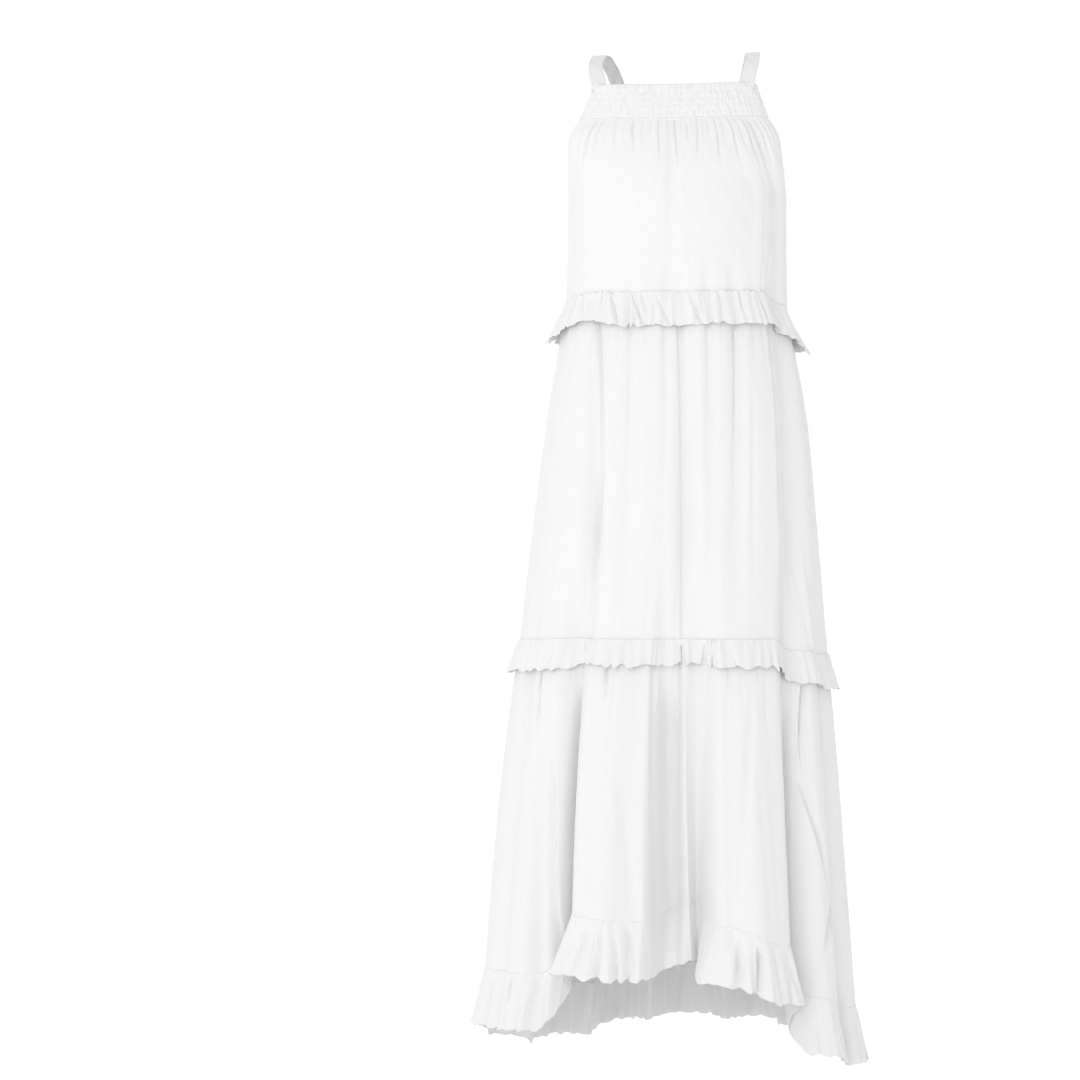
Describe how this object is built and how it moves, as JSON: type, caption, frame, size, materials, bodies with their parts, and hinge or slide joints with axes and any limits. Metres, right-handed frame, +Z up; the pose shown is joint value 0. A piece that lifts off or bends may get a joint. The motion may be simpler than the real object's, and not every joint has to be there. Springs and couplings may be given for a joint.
{
  "type": "maxi dress",
  "caption": "White sleeveless maxi dress with a shirred neck band, narrow straps, ruffled waist and tier seams, and a ruffled hem that is higher at the front.",
  "frame": {"origin": "midway between the two shoulder straps, at the height where their undersides rest on the wearer's shoulders, in the plane of the side seams", "axes": "+Z up, along the dress from its hem to its straps; the front faces -Y; the wearer's left is +X"},
  "size_m": [0.535, 0.454, 1.3596],
  "materials": {
    "cotton": "matte plain-woven cotton",
    "cotton_ruffle": "matte plain-woven cotton, gathered",
    "cotton_shirred": "matte cotton shirred on elastic lines",
    "cotton_strap": "matte cotton folded to a narrow strap"
  },
  "bodies": {
    "root": {"bodice_back": "cotton", "bodice_front": "cotton", "neck_band_back": "cotton_shirred", "neck_band_front": "cotton_shirred", "ruffle_hem_back": "cotton_ruffle", "ruffle_hem_front": "cotton_ruffle", "ruffle_mid_back": "cotton_ruffle", "ruffle_mid_front": "cotton_ruffle", "ruffle_waist_back": "cotton_ruffle", "ruffle_waist_front": "cotton_ruffle", "strap_left": "cotton_strap", "strap_right": "cotton_strap", "tier_low_back": "cotton", "tier_low_front": "cotton", "tier_mid_back": "cotton", "tier_mid_front": "cotton"}
  },
  "joints": []
}
